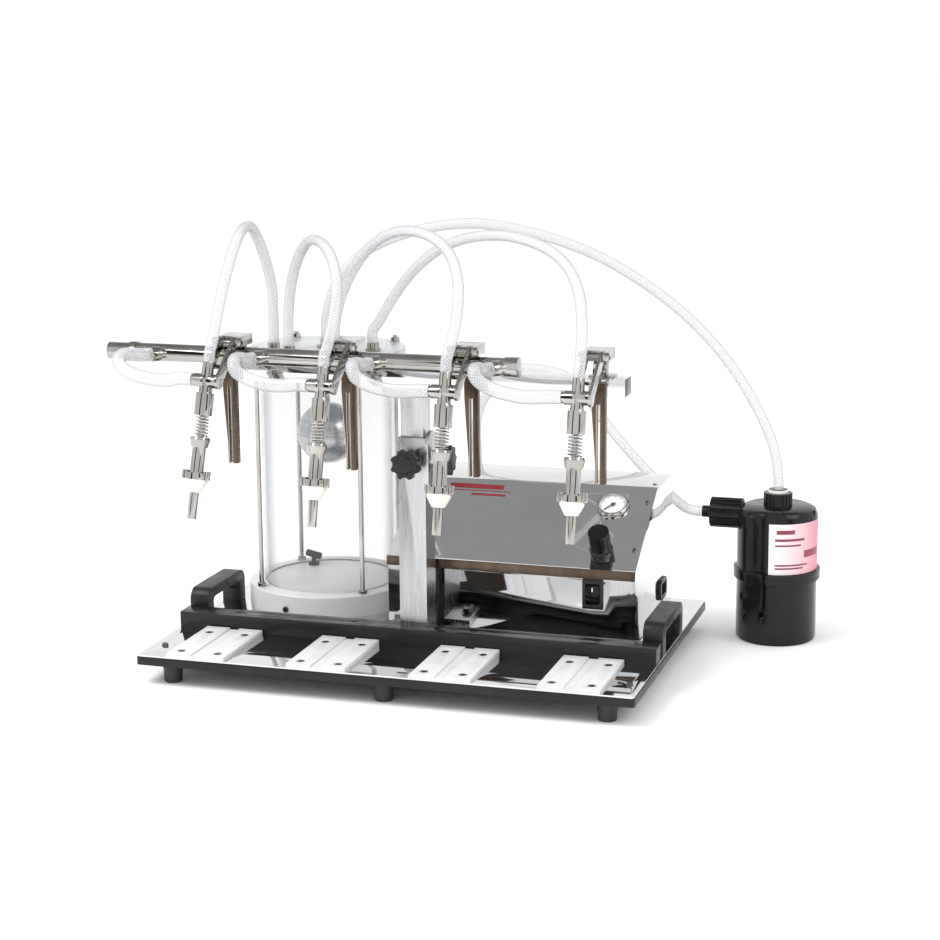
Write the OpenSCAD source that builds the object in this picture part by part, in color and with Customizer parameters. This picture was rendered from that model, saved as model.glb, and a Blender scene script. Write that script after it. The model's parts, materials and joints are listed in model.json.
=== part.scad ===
// Four-spout tabletop bottle filler that fills by vacuum.
// X runs to the operator's right, Y to the back, Z up; the feet stand on z = 0.

/* [Base] */
// Width of the base plate along X
base_w = 600; // [580:1:760]
// Depth of the base plate along Y
base_d = 410; // [410:1:520]
// Thickness of the black slab
slab_t = 10; // [6:1:16]
// Thickness of the polished steel sheet on the slab
sheet_t = 2; // [1:0.5:3]
// Corner radius of the slab
slab_corner = 4; // [1:0.5:12]
// Height of a rubber foot
foot_h = 24; // [14:1:40]
// Radius of a foot at its top
foot_r = 12; // [8:0.5:18]
// Inset of the feet from the slab's edges
foot_inset = 36; // [20:1:60]

/* [Bottle rests] */
// Distance between two filling stations
pitch = 150; // [130:1:160]
// Width of a bottle rest
rest_w = 72; // [50:1:110]
// Length of a bottle rest, from the front edge to the stop bar
rest_l = 118; // [90:1:125]
// Thickness of a bottle rest
rest_t = 5; // [3:0.5:10]
// Width of the groove down the middle of a rest
groove_w = 12; // [6:0.5:16]
// Depth of the groove
groove_d = 2; // [1:0.25:2.5]

/* [Stop bar and handles] */
// Depth of the bar that the bottles stand against
bar_d = 28; // [16:1:28]
// Height of the bar
bar_h = 20; // [12:1:40]
// Length of a carry handle along Y
handle_l = 114; // [100:1:180]
// Width of a handle along X
handle_w = 24; // [14:1:28]
// Height of a handle
handle_h = 40; // [32:1:60]
// Thickness of the handle's grip and legs
handle_leg = 17; // [10:1:20]

/* [Column] */
// Width of the outer column tube
col_w = 34; // [28:1:45]
// Depth of the outer column tube
col_d = 34; // [28:1:38]
// Wall of the column tube
col_wall = 2.5; // [1.5:0.25:4]
// Height of the outer tube above the deck
col_h = 246; // [200:1:280]
// Clearance between the mast and the tube, each side
mast_gap = 0.5; // [0.3:0.1:1]
// Height of the clamp knobs above the deck
clamp_z = 218; // [170:1:225]
// Radius of the star knob
star_r = 18; // [14:0.5:24]

/* [Rail and manifold] */
// Length of the support rail
rail_l = 500; // [480:1:600]
// Depth of the rail
rail_d = 30; // [20:1:30]
// Height of the rail's section
rail_h = 20; // [14:1:24]
// Wall of the rail
rail_wall = 2; // [1.5:0.25:4]
// Height of the rail's underside above the deck
rail_z = 312; // [300:1:360]
// Outer radius of the product manifold
pipe_r = 10.5; // [8:0.5:12]
// Wall of the manifold
pipe_wall = 1.5; // [1:0.25:3]

/* [Spouts] */
// Forward tilt of a spout at rest, in degrees
tilt = 12.3; // [8:0.1:16]
// Radius of the valve barrel
barrel_r = 10.5; // [8:0.5:12]
// Radius of the filling tube
tip_r = 5.5; // [4:0.25:6.5]
// Length from the valve body's centre to the end of the filling tube
spout_l = 160; // [150:1:190]
// Travel of the sliding sleeve
sleeve_travel = 12; // [6:1:12]
// Radial clearance of the sleeve on the filling tube
sleeve_gap = 0.35; // [0.3:0.05:0.6]

/* [Vacuum vessel] */
// Width of the vessel base outside the clear cylinder
disc_lip = 19; // [16:0.5:24]
// Height of the vessel base
disc_h = 27; // [20:1:40]
// Outer radius of the clear cylinder
glass_r = 85; // [76:1:88]
// Wall of the clear cylinder
glass_wall = 4; // [3:0.5:8]
// Height of the lid's top above the deck
vessel_h = 326; // [280:1:330]
// Thickness of the lid
lid_t = 15; // [10:1:22]
// Radius of a tie rod
rod_r = 3; // [2:0.25:4]
// Radius of the float ball
ball_r = 39; // [25:1:50]

/* [Power box] */
// Width of the box
box_w = 310; // [280:1:340]
// Depth of the box
box_d = 208; // [180:1:208]
// Height of the box
box_h = 164; // [140:1:200]
// Height of the vertical front below the panel
front_h = 90; // [70:1:110]
// Depth of the flat top
top_d = 90; // [60:1:110]
// Thickness of the sheet metal
skin = 1.5; // [1:0.25:2.5]
// Radius of the gauge's bezel
gauge_r = 20; // [15:0.5:30]
// Radius of the regulator knob
reg_r = 14; // [9:0.5:18]

/* [Filter] */
// Outer radius of the filter bowl
bowl_r = 50; // [36:1:60]
// Wall of the bowl and its cover
bowl_wall = 4; // [2:0.5:6]
// Height of the lower bowl
bowl_h = 85; // [70:1:120]
// Height of the filter up to its shoulder
cover_top = 170; // [140:1:190]

/* [Hoses] */
// Outer radius of the return and vacuum hoses
hose_r = 6.5; // [5:0.5:8]
// Outer radius of the product hoses
supply_r = 8; // [6:0.5:9]

/* [Hidden] */
$fn = 48;
function numbered(name) = [for (i = [1:4]) str(name, "_", i)];

deck_z = foot_h + slab_t + sheet_t;
station_x = [for (i = [1:4]) (i - 2.5) * pitch];
touch = 0.3;          // gap that keeps two separate faces apart
fit = 0.05;           // radial clearance of a turning fit
eps = 0.01;           // overlap that makes a cut clean

// Stop bar, column and rail stack up from the back end of the rests.
bar_y = rest_l + 2;
col_y = bar_y + bar_d + 2;
col_x = -6;
mast_w = col_w - 2 * (col_wall + mast_gap);
mast_d = col_d - 2 * (col_wall + mast_gap);
mast_z0 = 60;
head_t = 5;
rail_y = col_y + col_wall + mast_gap - head_t - rail_d;
rail_x = 7;
flange_w = 100;
flange_t = 6;
flange_bolt = 40;
side_t = 4;
stem_r = 3;

// The manifold lies in front of the rail, a little above it.
pipe_y = rail_y - pipe_r - 2.5;
pipe_z = rail_z + rail_h + 1 + pipe_r;
inlet_x = -base_w / 2 - 70;
head_x = station_x + [9, 1, -3, 0];
stub_x = head_x + [-73, -84, -85, -94];
stub_r = 6;
stub_l = 26;
pipe_l = stub_x[3] + 9 - inlet_x;

// Each spout hangs a little out of true to the side, in degrees.
lean = [3.3, 1.1, 0, 0];

// Each station's bracket stands a little to the right of its spout.
bracket_dx = 6;
hinge_y = pipe_y - 17;
hinge_z = pipe_z + 18;
hinge_r = 3;
eye_r = 7;
ear_in = 11;
ear_t = 4;
cheek_t = 3.5;
cheek_out = ear_in - 0.5;
tee_y = hinge_y - 48;
tee_z = hinge_z - 38;
tee_r = 8;
tee_l = 15;
port_l = 18;
neck_l = 22;

// Distances down a spout's own axis from the valve body's centre.
barrel_0 = 14;
barrel_1 = 40;
spring_1 = barrel_1 + 13 + sleeve_travel;
collar_1 = 77;
tube_1 = 106;
ring_1 = 114;
cone_1 = 129;
rod_w = 4;
sleeve_bore = tip_r + sleeve_gap;
sleeve_r = sleeve_bore + 2.2;

fork_l = 100;
fork_top = 17;
fork_foot = 12.5;
fork_gap = 3;
fork_d = 9;

disc_r = glass_r + disc_lip;
vessel_x = 27 + disc_r - base_w / 2;
vessel_y = base_d - 6 - disc_r;
rod_at = (disc_r - rod_r - 5) / sqrt(2);
seat = 3;
port_ring = glass_r - 15;
port_angles = [223, 250, 300, 347];
port_h = 11;
float_z = 216;
float_stem = 3;
stem_tube_r = 6;
drain_at = glass_r - glass_wall - 15;

box_x = base_w / 2 - 44 - box_w;
box_y = col_y + col_d + 12;
panel_run = box_d - top_d;
panel_rise = box_h - front_h;
panel_angle = atan2(panel_rise, panel_run);
gauge_x = 207;
gauge_at = 106;
reg_x = 211;
reg_at = 22;
reg_l = 40;
rocker_x = 204;
rocker_z = 58;
rocker_w = 17;
rocker_h = 25;
frame_w = 25;
frame_h = 36;
inlet_y = 345;
inlet_z = 30;
plug_w = 30;
plug_h = 20;
pump_port = [-12, 132];

filter_x = base_w / 2 + 92;
filter_y = base_d - 13;
rim_r = bowl_r + 4;
side_z = cover_top - 14;
side_reach = 95;
rim_t = 6;
latch_angle = 21;
latch_w = 26;
latch_hinge_z = 34;
latch_top = bowl_h + rim_t + 3;

// The object's own box, without the hoses, is centred on the origin.
mid_x = (filter_x + rim_r + inlet_x) / 2;
mid_y = max(base_d, box_y + box_d + port_h, filter_y + rim_r) / 2;

module at_origin() translate([-mid_x, -mid_y, 0]) children();
module on_deck(x = 0, y = 0, z = 0) translate([x, y, deck_z + z]) children();

// A bar along X, a bar along Y, and a slab with round corners.
module along_x(r, l, fn = 48) rotate([0, 90, 0]) cylinder(r = r, h = l, $fn = fn);
module along_y(r, l, fn = 48) rotate([-90, 0, 0]) cylinder(r = r, h = l, $fn = fn);
module rounded(w, d, r) {
    translate([r, 0]) square([w - 2 * r, d]);
    translate([0, r]) square([w, d - 2 * r]);
    for (x = [r, w - r], y = [r, d - r]) translate([x, y]) circle(r = r);
}
// A YZ outline extruded along X, starting at x = 0.
module side_profile(t) rotate([90, 0, 90]) linear_extrude(t) children();

// ---------- base ----------
module base_slab() color("#1b1b1d")
    translate([-base_w / 2, 0, foot_h])
        linear_extrude(slab_t) rounded(base_w, base_d, slab_corner);

module base_sheet() color("#d9dadd")
    difference() {
        translate([-base_w / 2 + 1, 1, deck_z - sheet_t])
            linear_extrude(sheet_t) rounded(base_w - 2, base_d - 2, slab_corner - 0.5);
        for (s = [-1, 1]) on_deck(s * (base_w / 2 - 16), 46, -sheet_t - eps)
            cylinder(r = 2, h = sheet_t + 1);
    }

module rubber_feet() color("#222224")
    for (x = [-1, 0, 1], y = [foot_inset - 12, base_d - foot_inset + 12])
        translate([x * (base_w / 2 - foot_inset), y, 0]) difference() {
            cylinder(r1 = foot_r - 1.5, r2 = foot_r, h = foot_h);
            translate([0, 0, -eps]) cylinder(r = 2.6, h = 6);
        }

rest_screws = [for (x = [-1, 1], y = [0.13, 0.8]) [x * rest_w * 0.32, y * rest_l]];
module bottle_rests() color("#f1f1f2")
    for (x = station_x) on_deck(x) difference() {
        translate([-rest_w / 2, 0, 0]) cube([rest_w, rest_l, rest_t]);
        translate([-groove_w / 2, -1, rest_t - groove_d])
            cube([groove_w, rest_l + 2, groove_d + 1]);
        for (p = rest_screws) translate([p[0], p[1], rest_t - 2.6]) {
            translate([0, 0, -rest_t]) cylinder(r = 2.25, h = 2 * rest_t);
            cylinder(r = 5.2, h = 3);
        }
    }

module stop_bar() color("#202023")
    on_deck(-base_w / 2 + 2, bar_y) difference() {
        cube([base_w - 4, bar_d, bar_h]);
        for (x = station_x) translate([x + base_w / 2 - 2, bar_d / 2, bar_h - 3]) {
            translate([0, 0, -bar_h]) cylinder(r = 2.75, h = bar_h);
            cylinder(r = 5.2, h = 4);
        }
    }

handle_y = col_y + 2;
handle_x = base_w / 2 - 1 - handle_w;
module carry_handles() color("#1d1d1f")
    for (s = [-1, 1]) on_deck(s > 0 ? handle_x : -handle_x - handle_w, handle_y)
        side_profile(handle_w) difference() {
            union() {
                translate([14, 0]) square([handle_l - 28, handle_h]);
                square([handle_l, handle_h - 14]);
                for (y = [14, handle_l - 14]) translate([y, handle_h - 14]) circle(r = 14);
            }
            translate([handle_leg, -1])
                square([handle_l - 2 * handle_leg, handle_h - handle_leg - 5]);
            translate([handle_leg + 6, 0])
                square([handle_l - 2 * handle_leg - 12, handle_h - handle_leg + 4]);
            for (y = [handle_leg + 6, handle_l - handle_leg - 6])
                translate([y, handle_h - handle_leg - 2]) circle(r = 6);
        }

// ---------- column ----------
module clamp_bore(front) {
    if (front) translate([0, -12, clamp_z]) along_y(stem_r + fit, 12 + col_wall + 1);
    else translate([col_w / 2 - col_wall - 1, col_d / 2, clamp_z])
        along_x(stem_r + fit, side_t + 12 + col_wall);
}
module column_post() color("#c9cace")
    on_deck(col_x, col_y) difference() {
        union() {
            translate([-col_w / 2, 0, 0]) cube([col_w, col_d, col_h]);
            translate([-flange_w / 2, 0, 0]) cube([flange_w, col_d, flange_t]);
            translate([0, -8, clamp_z]) along_y(9, 8 + eps);
            translate([col_w / 2, 0, 0]) side_profile(side_t) {
                translate([0, clamp_z - 34]) square([col_d, 34 + 18]);
                translate([col_d / 2, clamp_z + 18]) circle(r = col_d / 2);
            }
            translate([col_w / 2 + side_t - eps, col_d / 2, clamp_z]) along_x(9, 6);
        }
        translate([-col_w / 2 + col_wall, col_wall, flange_t])
            cube([col_w - 2 * col_wall, col_d - 2 * col_wall, col_h + 50]);
        clamp_bore(true);
        clamp_bore(false);
        for (s = [-1, 1]) translate([s * flange_bolt, col_d / 2, -1])
            cylinder(r = 3.3, h = flange_t + 2);
    }

module lift_mast() color("#d4d5d8")
    on_deck(col_x, col_y + col_wall + mast_gap) {
        difference() {
            translate([-mast_w / 2, 0, mast_z0])
                cube([mast_w, mast_d, rail_z + rail_h - mast_z0]);
            translate([-mast_w / 2 + 3, 3, mast_z0 - 1])
                cube([mast_w - 6, mast_d - 6, rail_z + rail_h - mast_z0 - 4]);
        }
        difference() {
            translate([-35, -head_t, rail_z - 16]) cube([70, head_t, rail_h + 16]);
            for (s = [-1, 1]) translate([s * 26, -head_t - 1, rail_z + rail_h / 2])
                along_y(2.7, head_t + 2);
        }
    }

// Grip with lobes, its axis on +Z, standing on z = 0.
module star_grip(r, h, lobes) {
    difference() {
        cylinder(r = r, h = h);
        for (k = [1:lobes]) rotate((k + 0.5) * 360 / lobes)
            translate([r * 1.16, 0, -1]) cylinder(r = r * 0.34, h = h + 2);
    }
    translate([0, 0, h]) cylinder(r1 = r * 0.62, r2 = r * 0.5, h = 2);
}
module clamp_knob(r, h, reach) {
    star_grip(r, h, 8);
    translate([0, 0, -5]) cylinder(r = 8, h = 5);
    translate([0, 0, -reach]) cylinder(r = stem_r, h = reach);
}
module knob_front() color("#26262a")
    on_deck(col_x, col_y - 8 - touch - 5, clamp_z) rotate([90, 22.5, 0])
        clamp_knob(star_r, 13, 5 + touch + 8 + col_wall + mast_gap - touch);
module knob_side() color("#26262a")
    on_deck(col_x + col_w / 2 + side_t + 6 + touch + 5, col_y + col_d / 2, clamp_z)
        rotate([0, 90, 0])
            clamp_knob(star_r, 13, 5 + touch + 6 + side_t + col_wall + mast_gap - touch);

// ---------- rail, manifold and station brackets ----------
module support_rail() {
    color("#d9dadd") on_deck(rail_x - rail_l / 2, rail_y, rail_z) difference() {
        cube([rail_l, rail_d, rail_h]);
        translate([-1, rail_wall, rail_wall])
            cube([rail_l + 2, rail_d - 2 * rail_wall, rail_h - 2 * rail_wall]);
    }
    color("#1d1d1f") for (s = [-1, 1])
        on_deck(rail_x + s * (rail_l / 2 + 1.5), rail_y + rail_d / 2, rail_z + rail_h / 2) {
            cube([3, rail_d, rail_h], center = true);
            translate([-s * 8, 0, 0])
                cube([14, rail_d - 2 * rail_wall - 0.2, rail_h - 2 * rail_wall - 0.2],
                     center = true);
        }
}

module manifold() color("#c4c5c9")
    on_deck(0, pipe_y, pipe_z) difference() {
        union() {
            translate([inlet_x, 0, 0]) along_x(pipe_r, pipe_l);
            translate([inlet_x + 28, 0, 0]) along_x(pipe_r + 1.5, 9);
            translate([inlet_x + pipe_l - 16, 0, 0]) along_x(pipe_r + 1.2, 16);
            for (x = stub_x) translate([x, 0, 0]) rotate([0, -90, 45]) {
                cylinder(r = stub_r, h = stub_l);
                translate([0, 0, stub_l - 10]) cylinder(r = supply_r + 1, h = 10);
            }
        }
        translate([inlet_x - 1, 0, 0]) along_x(pipe_r - pipe_wall, pipe_l - 2);
        for (x = stub_x) translate([x, 0, 0]) rotate([0, -90, 45])
            cylinder(r = stub_r - 2, h = stub_l + 1);
    }

module station_bracket() {
    // foot on the rail, upright behind the pipe, saddle at the pipe
    difference() {
        union() {
            translate([-14, rail_y + 2, rail_z + rail_h]) cube([28, 24, 3]);
            translate([-8, rail_y + 2, rail_z + rail_h]) cube([16, 7, hinge_z - rail_z - rail_h]);
            translate([-8, pipe_y + 2, pipe_z - 6]) cube([16, rail_y + 3 - pipe_y - 2, 12]);
        }
        translate([-30, pipe_y, pipe_z]) along_x(pipe_r + touch, 60);
    }
    // head over the pipe, with two ears that hold the hinge pin
    translate([-15, hinge_y + eye_r + 1, hinge_z - 6])
        cube([30, rail_y + 9 - hinge_y - eye_r - 1, 12]);
    for (s = [-1, 1]) translate([s > 0 ? ear_in : -ear_in - ear_t, 0, 0])
        side_profile(ear_t) {
            translate([hinge_y, hinge_z]) circle(r = eye_r - 1);
            translate([hinge_y, hinge_z - 6]) square([eye_r + 2, 12]);
        }
    translate([-ear_in - ear_t - 3, hinge_y, hinge_z]) along_x(hinge_r, 2 * (ear_in + ear_t + 3));
    for (s = [-1, 1]) translate([s * (ear_in + ear_t + 1.5) - 1.5, hinge_y, hinge_z])
        along_x(5.5, 3, 6);
}
module station_brackets() color("#8f9095")
    for (x = head_x) on_deck(x + bracket_dx) station_bracket();

module neck_forks() color("#b9b4a8")
    for (x = station_x) on_deck(x + bracket_dx, rail_y - fork_d, rail_z) {
        translate([0, fork_d, 0]) rotate([90, 0, 0]) linear_extrude(fork_d) {
            translate([-fork_top / 2, -8]) square([fork_top, 8 + rail_h - 4]);
            translate([fork_gap / 2, -fork_l])
                square([(fork_top - fork_gap) / 2, fork_l - 8 + eps]);
            polygon([
                [-fork_gap / 2, -8 + eps], [-fork_top / 2, -8 + eps],
                [fork_top / 2 - fork_foot, -fork_l + 22], [fork_top / 2 - fork_foot, -fork_l],
                [-fork_gap / 2, -fork_l]]);
        }
    }

// ---------- spouts ----------
module spout_frame(i) on_deck(head_x[i - 1], tee_y, tee_z)
    rotate([-tilt, 0, 0]) rotate([0, lean[i - 1], 0]) children();
// A step of a turned part, from depth a to depth b down the spout's axis.
module step(a, b, ra, rb) translate([0, 0, -b]) cylinder(r1 = rb, r2 = ra, h = b - a);

module cheek() side_profile(cheek_t) {
    circle(r = tee_r + 1.5);
    translate([hinge_y - tee_y, hinge_z - tee_z]) circle(r = eye_r);
    polygon([[-6, 5.3], [43.7, 43.5], [54.2, 34.7], [7.4, -3]]);
}
module nozzle_body(i) color("#b9babf") {
    spout_frame(i) difference() {
        union() {
            translate([-tee_l, 0, 0]) along_x(tee_r, 2 * tee_l);
            translate([-port_l, 0, 0]) along_x(supply_r - 1.5, port_l);
            translate([0, 0, 3]) cylinder(r1 = tee_r - 0.6, r2 = hose_r, h = neck_l - 3);
            step(3, barrel_0, tee_r - 0.6, tee_r);
            step(barrel_0, barrel_1, barrel_r, barrel_r);
            step(barrel_1 - eps, spring_1 + 8, rod_w, rod_w);
            step(spring_1 + 8 - eps, spout_l, tip_r, tip_r);
        }
        step(cone_1 - 20, spout_l + 1, tip_r - 1.5, tip_r - 1.5);
        translate([-port_l - 1, 0, 0]) along_x(4, port_l);
        translate([0, 0, 8]) cylinder(r = 4, h = neck_l);
    }
    on_deck(head_x[i - 1] + bracket_dx, tee_y, tee_z) {
        difference() {
            union() {
                for (s = [-1, 1])
                    translate([s > 0 ? cheek_out - cheek_t : -cheek_out, 0, 0]) cheek();
                translate([-cheek_out + 1, 14, 12]) cube([2 * cheek_out - 2, 16, 3]);
            }
            translate([-30, hinge_y - tee_y, hinge_z - tee_z]) along_x(hinge_r + fit, 60);
        }
    }
}

spring_turns = 6;
spring_steps = 12;
wire = 0.9;
spring_mid = 7.4;
spring_span = spring_1 - barrel_1 - 2 * wire - 2 * touch;
function ring(c, u, v, r, n) =
    [for (k = [0:n - 1]) c + r * (cos(360 * k / n) * u + sin(360 * k / n) * v)];
module tube_mesh(rings, n) {
    m = len(rings);
    polyhedron(
        points = [for (q = rings) for (p = q) p],
        faces = concat(
            [[for (k = [0:n - 1]) k]],
            [for (j = [0:m - 2]) for (k = [0:n - 1])
                [j * n + k, (j + 1) * n + k, (j + 1) * n + (k + 1) % n, j * n + (k + 1) % n]],
            [[for (k = [n - 1:-1:0]) (m - 1) * n + k]]),
        convexity = 6);
}
module spring(i) color("#e2e2e6")
    spout_frame(i) translate([0, 0, -spring_1 + wire + touch]) {
        count = spring_turns * spring_steps;
        tube_mesh([for (j = [0:count])
            let (a = 360 * j / spring_steps)
            ring([spring_mid * cos(a), spring_mid * sin(a), spring_span * j / count],
                 [cos(a), sin(a), 0], [0, 0, 1], wire, 6)], 6);
    }

module sleeve(i) color("#c6c7cb")
    spout_frame(i) difference() {
        union() {
            step(spring_1, spring_1 + 3, 11, 12);
            step(spring_1 + 3 - eps, collar_1, 12, 10);
            step(collar_1 - eps, tube_1, sleeve_r, sleeve_r);
            step(tube_1 - eps, ring_1, 13, 13);
            for (s = [-1, 1]) translate([s * 13, 0, -ring_1])
                cylinder(r = 4.5, h = ring_1 - tube_1 + 2);
        }
        step(spring_1 - 1, ring_1 + 1, sleeve_bore, sleeve_bore);
    }

module stopper(i) color("#f4f3ef")
    spout_frame(i) difference() {
        union() {
            step(ring_1, ring_1 + 3, 13.5, 14);
            step(ring_1 + 3 - eps, cone_1, 14, 7.5);
        }
        step(ring_1 - 1, cone_1 + 1, sleeve_bore, sleeve_bore);
    }

// ---------- vacuum vessel ----------
module at_rods() for (x = [-1, 1], y = [-1, 1]) translate([x * rod_at, y * rod_at, 0]) children();
module at_ports() for (a = port_angles) rotate(a) translate([port_ring, 0, 0]) children();

module vessel_base() color("#f3f3f5")
    on_deck(vessel_x, vessel_y) difference() {
        union() {
            cylinder(r = disc_r, h = disc_h - 1, $fn = 96);
            translate([0, 0, disc_h - 1]) cylinder(r1 = disc_r, r2 = disc_r - 1, h = 1, $fn = 96);
        }
        translate([0, 0, disc_h - seat]) difference() {
            cylinder(r = glass_r + 0.2, h = seat + 1);
            translate([0, 0, -1]) cylinder(r = glass_r - glass_wall - 0.2, h = seat + 3);
        }
        at_rods() translate([0, 0, disc_h - 14]) cylinder(r = rod_r + fit, h = 15);
    }

module vessel_cylinder() color("#e6eef2", 0.4)
    on_deck(vessel_x, vessel_y, disc_h - seat) difference() {
        cylinder(r = glass_r, h = vessel_h - lid_t + seat - disc_h + seat, $fn = 96);
        translate([0, 0, -1])
            cylinder(r = glass_r - glass_wall, h = vessel_h, $fn = 96);
    }

module vessel_lid() color("#e9edf0")
    on_deck(vessel_x, vessel_y, vessel_h - lid_t) difference() {
        union() {
            cylinder(r = disc_r - 4, h = lid_t - 1, $fn = 96);
            translate([0, 0, lid_t - 1])
                cylinder(r1 = disc_r - 4, r2 = disc_r - 5, h = 1, $fn = 96);
        }
        translate([0, 0, -1]) difference() {
            cylinder(r = glass_r + 0.2, h = seat + 1);
            translate([0, 0, -1]) cylinder(r = glass_r - glass_wall - 0.2, h = seat + 3);
        }
        at_rods() translate([0, 0, -1]) cylinder(r = rod_r + 0.3, h = lid_t + 2);
        at_ports() translate([0, 0, -1]) cylinder(r = 5 + fit, h = lid_t + 2);
        translate([0, 0, -1]) cylinder(r = stem_tube_r + fit, h = lid_t + 2);
    }

module tie_rods() color("#b9babf")
    on_deck(vessel_x, vessel_y) at_rods() {
        translate([0, 0, disc_h - 13]) cylinder(r = rod_r, h = vessel_h + 8 - disc_h + 13);
        translate([0, 0, disc_h]) cylinder(r = 6, h = 5, $fn = 6);
        translate([0, 0, vessel_h]) cylinder(r = 6.5, h = 1.2);
        translate([0, 0, vessel_h + 1.2]) cylinder(r = 6, h = 4, $fn = 6);
    }

module port(bore_l) difference() {
    union() {
        translate([0, 0, -bore_l]) cylinder(r = 5, h = bore_l + port_h);
        cylinder(r = 9.5, h = 4);
        translate([0, 0, 4]) cylinder(r = hose_r + 1.2, h = port_h - 4);
    }
    translate([0, 0, -bore_l - 1]) cylinder(r = 3.2, h = bore_l + port_h + 2);
}
module hose_fittings() color("#8f9095") {
    on_deck(vessel_x, vessel_y, vessel_h) {
        at_ports() port(lid_t);
        // vacuum outlet, with the guide tube of the float below it
        difference() {
            union() {
                cylinder(r = 12, h = 4);
                translate([0, 0, 4]) cylinder(r = hose_r + 1.2, h = port_h - 4);
                translate([0, 0, -lid_t - 36]) cylinder(r = stem_tube_r, h = lid_t + 36 + 4);
            }
            translate([0, 0, -lid_t - 37])
                cylinder(r = float_stem + 0.4, h = lid_t + 37 + port_h + 1);
        }
    }
    on_deck(pump_port[0], box_y + box_d, pump_port[1]) rotate([-90, 0, 0]) port(skin + 6);
}

module float_ball() color("#b4b5b9")
    on_deck(vessel_x, vessel_y, float_z) {
        difference() {
            sphere(r = ball_r);
            sphere(r = ball_r - 2);
        }
        rotate_extrude() translate([ball_r - 1, -0.8]) square([1.6, 1.6]);
        translate([0, 0, ball_r - 1])
            cylinder(r = float_stem, h = vessel_h - float_z - ball_r - 8);
    }

module drain_plug() color("#17171a")
    on_deck(vessel_x, vessel_y, disc_h) rotate(131) translate([drain_at, 0, 0]) rotate(-131) {
        cylinder(r = 7, h = 4);
        cylinder(r = 3, h = 13);
        translate([0, 0, 14]) rotate([0, 12, 0]) translate([-10, 0, 0]) along_x(4.5, 20);
    }

// ---------- power box ----------
// Side outline of the box in Y and Z, with g taken off all round.
function box_outline(g) =
    let (s = g * tan(panel_angle / 2), f = g * tan((90 - panel_angle) / 2)) [
        [g, 0], [g, front_h - f], [panel_run + s, box_h - g],
        [box_d - g, box_h - g], [box_d - g, 0]];
module on_panel(x, along, up = 0)
    on_deck(x, box_y + along * cos(panel_angle), front_h + along * sin(panel_angle))
        rotate([panel_angle, 0, 0]) translate([0, 0, up]) children();

module housing_cover() color("#d5d6da")
    difference() {
        union() {
            on_deck(box_x, box_y) difference() {
                side_profile(box_w) polygon(box_outline(0));
                translate([skin, 0, -eps])
                    side_profile(box_w - 2 * skin) polygon(box_outline(skin));
            }
            on_deck(box_x, box_y - 5, front_h - 12) cube([box_w, 5 + eps, 12]);
        }
        on_panel(gauge_x, gauge_at, -6) cylinder(r = gauge_r - 3.5, h = 12);
        on_panel(reg_x, reg_at, -6) cylinder(r = 4 + fit, h = 12);
        on_deck(rocker_x - frame_w / 2 + 2, box_y - 1, rocker_z - frame_h / 2 + 2)
            cube([frame_w - 4, skin + 2, frame_h - 4]);
        on_deck(box_x + box_w - skin - 1, inlet_y - plug_w / 2, inlet_z - plug_h / 2)
            cube([skin + 2, plug_w, plug_h]);
        on_deck(pump_port[0], box_y + box_d - skin - 1, pump_port[1])
            along_y(5 + fit, skin + 2);
        // cooling slots in the back wall
        for (k = [0:7]) on_deck(100 + 14 * k, box_y + box_d - skin - 1, 40)
            cube([5, skin + 2, 60]);
    }

module housing_base() color("#b9babf")
    on_deck(box_x + skin + touch, box_y + skin + touch) {
        cube([box_w - 2 * (skin + touch), box_d - 2 * (skin + touch), 2.5]);
        for (x = [60, 160]) translate([x, 70, 2.5]) cube([16, 90, 10]);
    }

module vacuum_pump() color("#4a4d52")
    on_deck(box_x + skin + touch, box_y + skin + touch, 12.5) {
        translate([45, 75, 0]) cube([150, 80, 12]);
        translate([60, 115, 44]) along_x(34, 90);
        translate([150, 85, 12]) cube([40, 60, 70]);
        translate([40, 115, 44]) along_x(24, 20);
    }

module gauge_case() color("#c9cace")
    on_panel(gauge_x, gauge_at) {
        difference() {
            union() {
                translate([0, 0, -22]) cylinder(r = gauge_r - 3.5 - fit, h = 22);
                cylinder(r = gauge_r, h = 3.5);
                translate([0, 0, 3.5]) cylinder(r1 = gauge_r, r2 = gauge_r - 1.5, h = 1.5);
            }
            translate([0, 0, 1]) cylinder(r = gauge_r - 3, h = 8);
        }
        translate([0, 0, 1]) cylinder(r = 1, h = 2.6);
    }
module gauge_needle() color("#111113")
    on_panel(gauge_x, gauge_at, 2.2) difference() {
        union() {
            cylinder(r = 2.6, h = 1);
            rotate(135) translate([-0.7, -4, 0]) cube([1.4, gauge_r - 3, 0.7]);
        }
        translate([0, 0, -1]) cylinder(r = 1 + fit, h = 3);
    }
module regulator_knob() color("#161619")
    on_panel(reg_x, reg_at, touch) {
        difference() {
            union() {
                cylinder(r = reg_r, h = 12);
                translate([0, 0, 12]) cylinder(r1 = reg_r, r2 = reg_r - 1.5, h = 2);
                translate([0, 0, 14]) cylinder(r = reg_r - 1.5, h = reg_l - 14);
            }
            for (k = [1:12]) rotate(30 * k) translate([reg_r - 0.9, 0, 17])
                cylinder(r = 1.1, h = reg_l);
        }
        translate([0, 0, -10]) cylinder(r = 4, h = 10 + eps);
    }

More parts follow.
